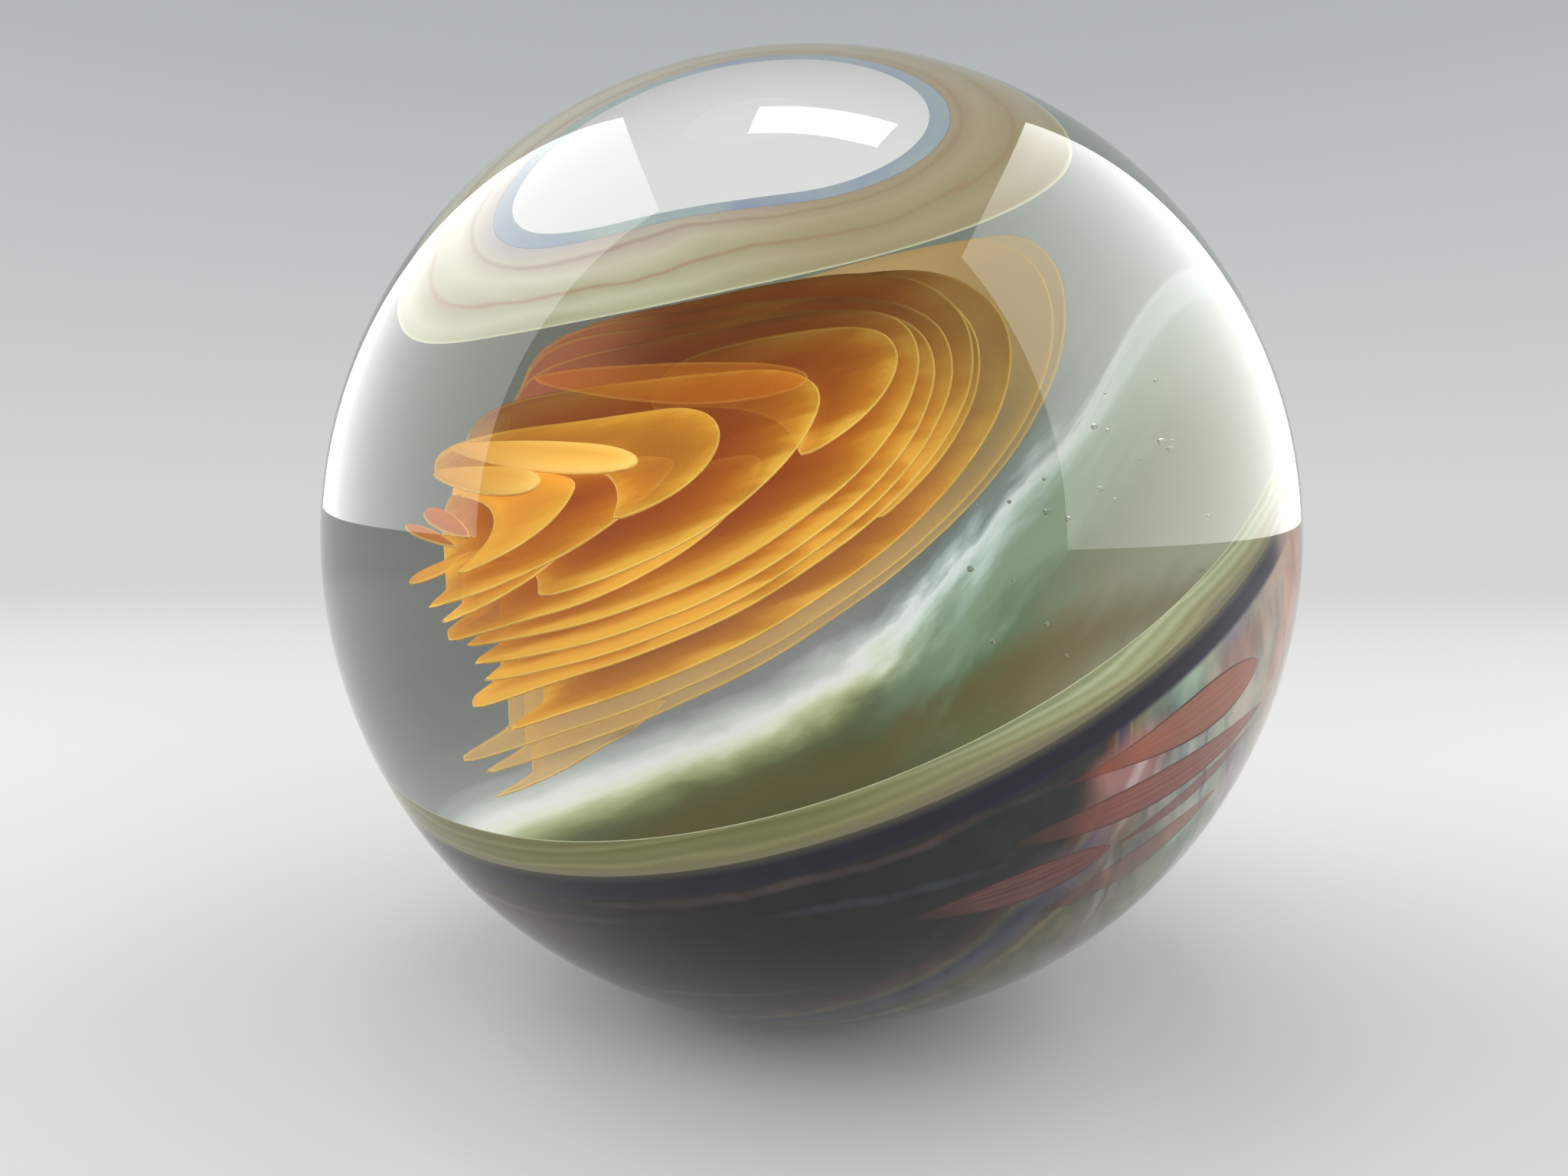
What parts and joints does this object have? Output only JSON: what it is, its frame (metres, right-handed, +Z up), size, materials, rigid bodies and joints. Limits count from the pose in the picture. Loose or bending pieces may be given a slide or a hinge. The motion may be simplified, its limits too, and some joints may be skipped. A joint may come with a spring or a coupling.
{
  "type": "glass marble",
  "caption": "Solid glass ball with stacked amber veils under a clear window, set in a fumed glass bowl with an indigo backing; for display in a ring stand or as a desk ornament.",
  "frame": {"origin": "the centre of the ball", "axes": "+Z up, as the marble sits in a ring stand; the clear window over the veils leans 33 degrees from +Z towards -X and -Y; -Y faces the viewer"},
  "size_m": [0.05, 0.05, 0.05],
  "materials": {
    "clear_glass": "fire-polished, optically clear borosilicate",
    "amber_glass": "striking amber colour, folded in thin veils, sealed inside",
    "fumed_glass": "silver-fumed glass, olive green with grey and rose streaks, sealed inside",
    "silver_fume": "bright silver fume, softly streaked, sealed inside",
    "indigo_glass": "dense indigo glass, nearly black, sealed inside",
    "rose_glass": "terracotta and rose streaks, sealed inside"
  },
  "bodies": {
    "root": {"clear_glass": "clear_glass", "amber_veils": "amber_glass", "fumed_bowl": "fumed_glass", "silver_streak": "silver_fume", "indigo_backing": "indigo_glass", "rose_ribbons": "rose_glass"}
  },
  "joints": []
}
